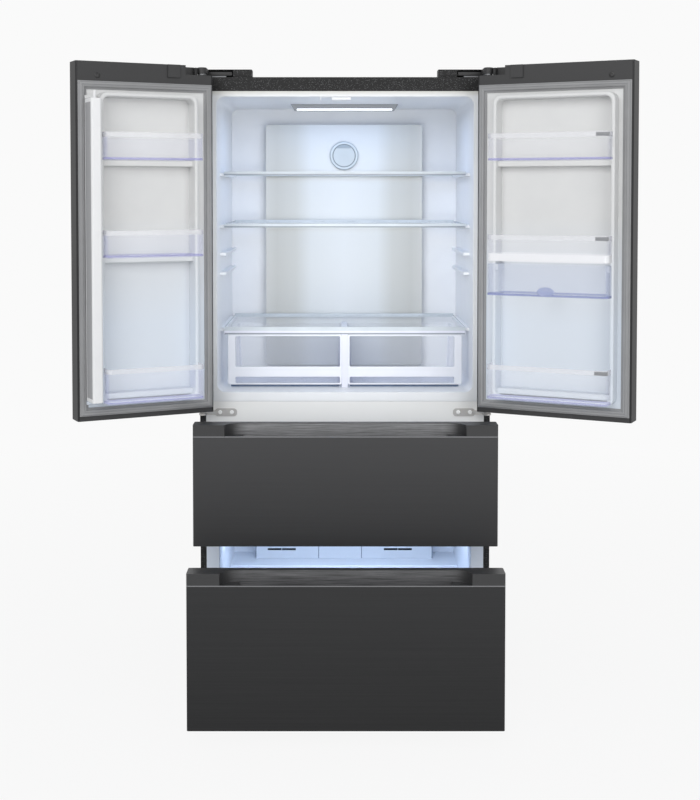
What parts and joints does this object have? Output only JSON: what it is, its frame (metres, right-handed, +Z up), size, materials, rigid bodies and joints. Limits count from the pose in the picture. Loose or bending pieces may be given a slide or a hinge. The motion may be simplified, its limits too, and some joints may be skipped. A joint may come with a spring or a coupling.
{
  "type": "french door fridge freezer",
  "caption": "Free-standing steel fridge with French doors, glass shelves, crispers and door bins above pull-out freezer drawers with recessed grips.",
  "frame": {"origin": "on the floor under the middle of the open pose's bounding box", "axes": "+Z up, the doors open towards -Y, +X to the right seen from the front"},
  "size_m": [1.5386, 1.03, 1.819],
  "materials": {
    "cabinet_steel": "satin dark grey paint",
    "rear_steel": "dull zinc coating",
    "foam": "rigid insulating foam",
    "fridge_white": "satin moulded liner",
    "freezer_white": "satin moulded liner",
    "rail_grey": "satin light grey paint",
    "base_black": "black paint",
    "foot_black": "matt",
    "compressor_black": "black enamel",
    "coil_dark": "black paint",
    "coil_bright": "bright fins",
    "freezer_duct": "satin",
    "fan_grey": "matt",
    "duct_metal": "satin",
    "cap_white": "satin",
    "lamp_lens": "frosted lens",
    "guide_white": "satin",
    "shelf_pane": "clear toughened glass",
    "shelf_trim": "satin",
    "crisper_clear": "clear moulding",
    "crisper_white": "gloss",
    "door_steel": "dark coated steel",
    "cap_black": "fine texture",
    "door_white": "satin moulded liner",
    "gasket_grey": "soft",
    "flap_white": "satin",
    "bin_clear": "clear moulding",
    "bin_rail": "tinted moulding",
    "hinge_steel": "zinc plated",
    "hinge_cover": "fine texture",
    "slide_zinc": "zinc plated",
    "grip_dark": "satin dark grey",
    "basket_white": "satin moulding"
  },
  "bodies": {
    "cabinet": {"cabinet_shell": "cabinet_steel", "rear_panel": "rear_steel", "insulation_foam": "foam", "fridge_liner": "fridge_white", "freezer_liner": "freezer_white", "front_rails": "rail_grey", "base_tray": "base_black", "leveling_feet": "foot_black", "compressor": "compressor_black", "condenser_coil": "coil_dark", "machine_cover": "rear_steel", "evaporator": "coil_bright", "freezer_air_duct": "freezer_duct", "fridge_air_duct": "duct_metal", "ceiling_lamp": "lamp_lens", "mullion_guide": "guide_white", "shelf_glass": "shelf_pane", "shelf_trims": "shelf_trim", "crisper_frame": "shelf_trim", "hinge_brackets": "hinge_steel", "hinge_covers": "hinge_cover", "freezer_rails": "slide_zinc"},
    "evaporator_fan": {"evaporator_fan": "fan_grey"},
    "filter_cap": {"filter_cap": "cap_white"},
    "crisper_left": {"crisper_tub_left": "crisper_clear", "crisper_front_left": "crisper_white"},
    "crisper_right": {"crisper_tub_right": "crisper_clear", "crisper_front_right": "crisper_white"},
    "left_door": {"left_door_skin": "door_steel", "left_door_caps": "cap_black", "left_door_liner": "door_white", "left_door_gasket": "gasket_grey", "left_upper_bin": "bin_clear", "left_middle_bin": "bin_clear", "left_lower_bin": "bin_clear", "left_bin_rails": "bin_rail"},
    "mullion_flap": {"mullion_flap": "flap_white"},
    "right_door": {"right_door_skin": "door_steel", "right_door_caps": "cap_black", "right_door_liner": "door_white", "right_door_gasket": "gasket_grey", "right_upper_bin": "bin_clear", "right_middle_bin": "bin_clear", "right_lower_bin": "bin_clear", "right_bin_rails": "bin_rail"},
    "snack_drawer": {"snack_drawer": "bin_clear"},
    "upper_slides": {"upper_slide_members": "slide_zinc"},
    "lower_slides": {"lower_slide_members": "slide_zinc"},
    "upper_drawer": {"upper_drawer_front": "door_steel", "upper_drawer_grip": "grip_dark", "upper_drawer_liner": "door_white", "upper_drawer_gasket": "gasket_grey", "upper_drawer_basket": "basket_white", "upper_drawer_runners": "slide_zinc"},
    "lower_drawer": {"lower_drawer_front": "door_steel", "lower_drawer_grip": "grip_dark", "lower_drawer_liner": "door_white", "lower_drawer_gasket": "gasket_grey", "lower_drawer_basket": "basket_white", "lower_drawer_runners": "slide_zinc"}
  },
  "joints": [
    {"name": "left_door_hinge", "type": "hinge", "parent": "cabinet", "child": "left_door", "pos_m": [-0.427, -0.192, 1.3], "axis": [0, 0, -1], "range_deg": [-153.5, 0]},
    {"name": "right_door_hinge", "type": "hinge", "parent": "cabinet", "child": "right_door", "pos_m": [0.383, -0.192, 1.3], "axis": [0, 0, 1], "range_deg": [-153.5, 0]},
    {"name": "mullion_flap_hinge", "type": "hinge", "parent": "left_door", "child": "mullion_flap", "pos_m": [-0.71502, -0.40432, 1.3], "axis": [0, 0, 1], "range_deg": [-90, 0]},
    {"name": "upper_drawer_slide", "type": "slide", "parent": "cabinet", "child": "upper_drawer", "axis": [0, -1, 0], "range_m": [-0.134, 0.226]},
    {"name": "lower_drawer_slide", "type": "slide", "parent": "cabinet", "child": "lower_drawer", "axis": [0, -1, 0], "range_m": [-0.308, 0.052]},
    {"name": "upper_slides_travel", "type": "slide", "parent": "cabinet", "child": "upper_slides", "axis": [0, -1, 0], "range_m": [-0.067, 0.113]},
    {"name": "lower_slides_travel", "type": "slide", "parent": "cabinet", "child": "lower_slides", "axis": [0, -1, 0], "range_m": [-0.154, 0.026]},
    {"name": "crisper_left_slide", "type": "slide", "parent": "cabinet", "child": "crisper_left", "axis": [0, -1, 0], "range_m": [0, 0.3]},
    {"name": "crisper_right_slide", "type": "slide", "parent": "cabinet", "child": "crisper_right", "axis": [0, -1, 0], "range_m": [0, 0.3]},
    {"name": "snack_drawer_slide", "type": "slide", "parent": "right_door", "child": "snack_drawer", "axis": [-0.4462, -0.8949, 0], "range_m": [0, 0.04]},
    {"name": "filter_cap_twist", "type": "hinge", "parent": "cabinet", "child": "filter_cap", "pos_m": [-0.022, 0.38, 1.587], "axis": [0, 1, 0], "range_deg": [0, 40]},
    {"name": "evaporator_fan_spin", "type": "hinge", "parent": "cabinet", "child": "evaporator_fan", "pos_m": [-0.022, 0.377, 0.66], "axis": [0, 1, 0], "continuous": true}
  ],
  "couplings": [
    {"joint": "upper_slides_travel", "follows": "upper_drawer_slide", "ratio": 0.5},
    {"joint": "lower_slides_travel", "follows": "lower_drawer_slide", "ratio": 0.5}
  ]
}
